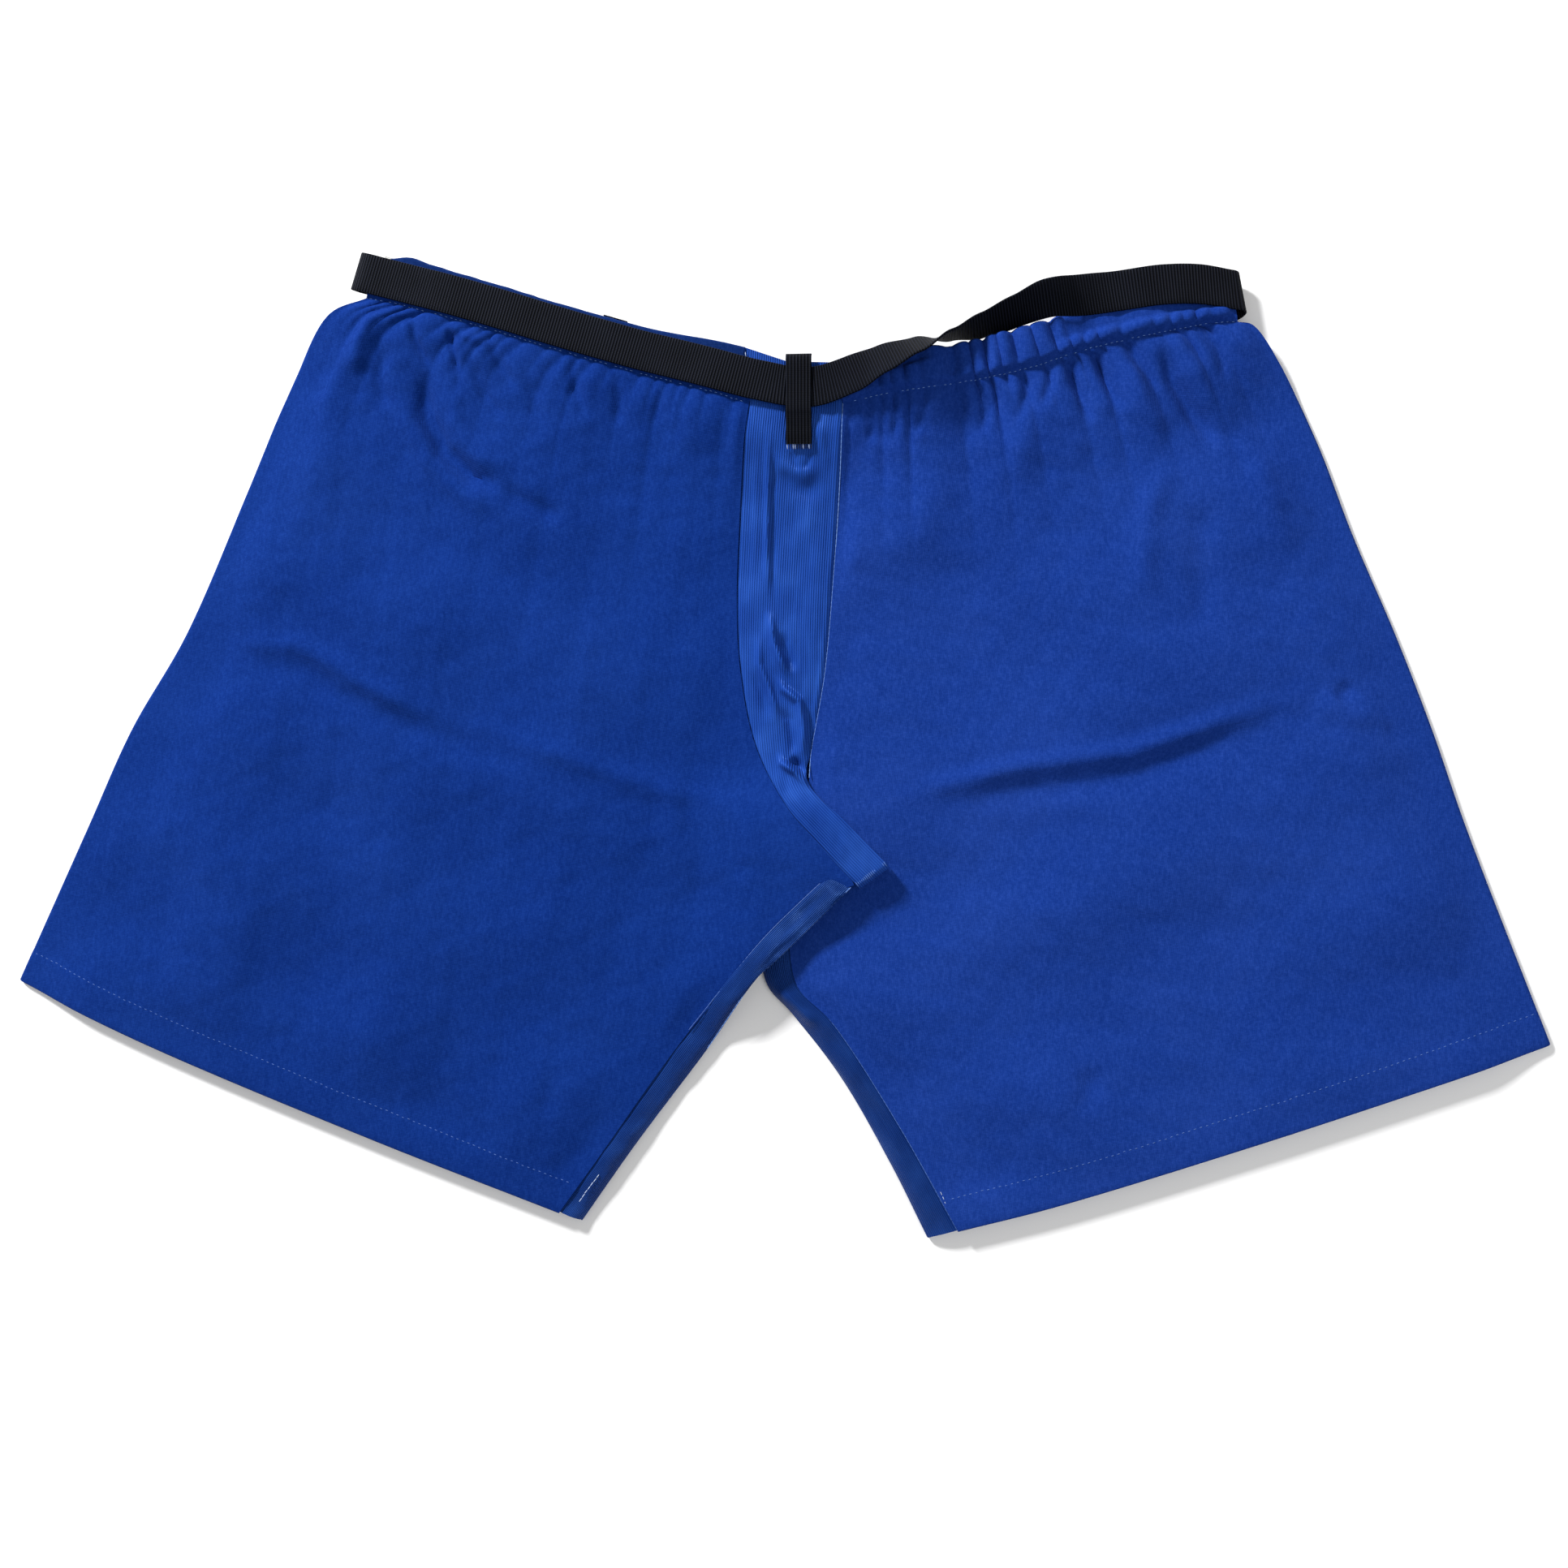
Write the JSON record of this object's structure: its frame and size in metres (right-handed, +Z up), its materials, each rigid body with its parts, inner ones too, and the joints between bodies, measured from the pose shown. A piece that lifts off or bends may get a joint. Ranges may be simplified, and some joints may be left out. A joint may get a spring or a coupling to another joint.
{
  "type": "athletic shorts",
  "caption": "Knee-length pull-on athletic shorts laid flat: elastic waist tunnels, webbing belt with a buckle, satin centre and inner-leg gussets.",
  "frame": {"origin": "middle of the spread shorts' bounding box, on the floor that they lie on", "axes": "+X across the two legs, towards the leg on the right of the picture; +Y from the hems to the waist; +Z up from the floor"},
  "size_m": [0.996, 0.6422, 0.0373],
  "materials": {
    "panel": "matte brushed knit, royal blue",
    "tunnel": "matte brushed knit, royal blue, gathered",
    "satin": "glossy ribbed stretch satin, royal blue",
    "elastic": "woven elastic, off-white",
    "webbing": "ribbed black webbing",
    "loop_tape": "narrow black ribbed tape",
    "buckle": "moulded black plastic"
  },
  "bodies": {
    "garment": {"left_front_panel": "panel", "left_back_panel": "panel", "right_front_panel": "panel", "right_back_panel": "panel", "left_inner_leg_strip": "satin", "right_inner_leg_strip": "satin", "front_centre_gusset": "satin", "back_centre_gusset": "satin", "left_front_waist_tunnel": "tunnel", "left_back_waist_tunnel": "tunnel", "right_front_waist_tunnel": "tunnel", "right_back_waist_tunnel": "tunnel", "left_waist_elastic": "elastic", "right_waist_elastic": "elastic", "belt_front": "webbing", "belt_back_left": "webbing", "belt_back_right": "webbing", "belt_plug_strap": "webbing", "centre_belt_loop": "loop_tape", "left_belt_loop": "loop_tape", "right_belt_loop": "loop_tape", "buckle_socket": "buckle"},
    "plug": {"buckle_plug": "buckle"},
    "arm_upper": {"buckle_arm_upper": "buckle"},
    "arm_lower": {"buckle_arm_lower": "buckle"}
  },
  "joints": [
    {"name": "buckle_release", "type": "slide", "parent": "garment", "child": "plug", "axis": [1, 0, 0], "range_m": [0, 0.03], "deforming": ["belt_plug_strap", "buckle_arm_upper", "buckle_arm_lower"]},
    {"name": "arm_upper_squeeze", "type": "hinge", "parent": "plug", "child": "arm_upper", "pos_m": [0.018, 0.222, 0.0044], "axis": [0, 0, 1], "range_deg": [0, 10], "stiffness_Nm_per_rad": 0.15},
    {"name": "arm_lower_squeeze", "type": "hinge", "parent": "plug", "child": "arm_lower", "pos_m": [0.018, 0.206, 0.0044], "axis": [0, 0, -1], "range_deg": [0, 10], "stiffness_Nm_per_rad": 0.15}
  ],
  "couplings": [
    {"joint": "arm_lower_squeeze", "follows": "arm_upper_squeeze", "ratio": 1}
  ]
}
